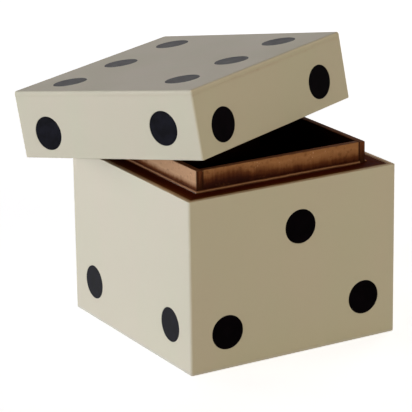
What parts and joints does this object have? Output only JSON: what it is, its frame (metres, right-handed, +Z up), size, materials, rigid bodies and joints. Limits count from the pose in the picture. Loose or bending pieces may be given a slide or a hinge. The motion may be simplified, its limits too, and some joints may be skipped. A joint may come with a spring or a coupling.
{
  "type": "die-shaped lidded box",
  "caption": "Die-shaped storage box with pale facing sheets, inlaid black pips, a raised wooden lip and a lift-off lid that lies askew on it.",
  "frame": {"origin": "middle of the base's flat underside, on the surface that it stands on", "axes": "+Z up out of the box; -Y is the front, the face with five pips when the lid is closed; +X is to its right"},
  "size_m": [0.1554, 0.1658, 0.1457],
  "materials": {
    "ivory_sheet": "polished cast resin sheet, ivory coloured",
    "black_inlay": "polished black resin inlay, flush",
    "dark_wood": "dark mahogany stain under lacquer",
    "copper_wood": "burnished copper-brown stain, worn darker at the foot",
    "felt": "black felt"
  },
  "bodies": {
    "box": {"base_floor_board": "dark_wood", "base_front_wall": "dark_wood", "base_right_wall": "dark_wood", "base_back_wall": "dark_wood", "base_left_wall": "dark_wood", "base_front_facing": "ivory_sheet", "base_right_facing": "ivory_sheet", "base_back_facing": "ivory_sheet", "base_left_facing": "ivory_sheet", "base_bottom_facing": "ivory_sheet", "front_liner": "copper_wood", "right_liner": "copper_wood", "back_liner": "copper_wood", "left_liner": "copper_wood", "front_bead": "copper_wood", "right_bead": "copper_wood", "back_bead": "copper_wood", "left_bead": "copper_wood", "floor_felt": "felt", "base_front_pip_1": "black_inlay", "base_front_pip_2": "black_inlay", "base_front_pip_3": "black_inlay", "base_left_pip_1": "black_inlay", "base_left_pip_2": "black_inlay", "base_right_pip_1": "black_inlay", "base_right_pip_2": "black_inlay", "base_back_pip": "black_inlay", "base_bottom_pip": "black_inlay"},
    "lid": {"lid_top_board": "dark_wood", "lid_front_skirt": "dark_wood", "lid_right_skirt": "dark_wood", "lid_back_skirt": "dark_wood", "lid_left_skirt": "dark_wood", "lid_top_facing": "ivory_sheet", "lid_front_facing": "ivory_sheet", "lid_right_facing": "ivory_sheet", "lid_back_facing": "ivory_sheet", "lid_left_facing": "ivory_sheet", "lid_felt": "felt", "lid_top_pip_1": "black_inlay", "lid_top_pip_2": "black_inlay", "lid_top_pip_3": "black_inlay", "lid_top_pip_4": "black_inlay", "lid_top_pip_5": "black_inlay", "lid_top_pip_6": "black_inlay", "lid_front_pip_1": "black_inlay", "lid_front_pip_2": "black_inlay", "lid_left_pip_1": "black_inlay", "lid_left_pip_2": "black_inlay", "lid_right_pip": "black_inlay", "lid_back_pip": "black_inlay"}
  },
  "joints": [
    {"name": "lid_lift", "type": "slide", "parent": "box", "child": "lid", "axis": [0, 0, 1], "range_m": [0, 0.12]}
  ]
}
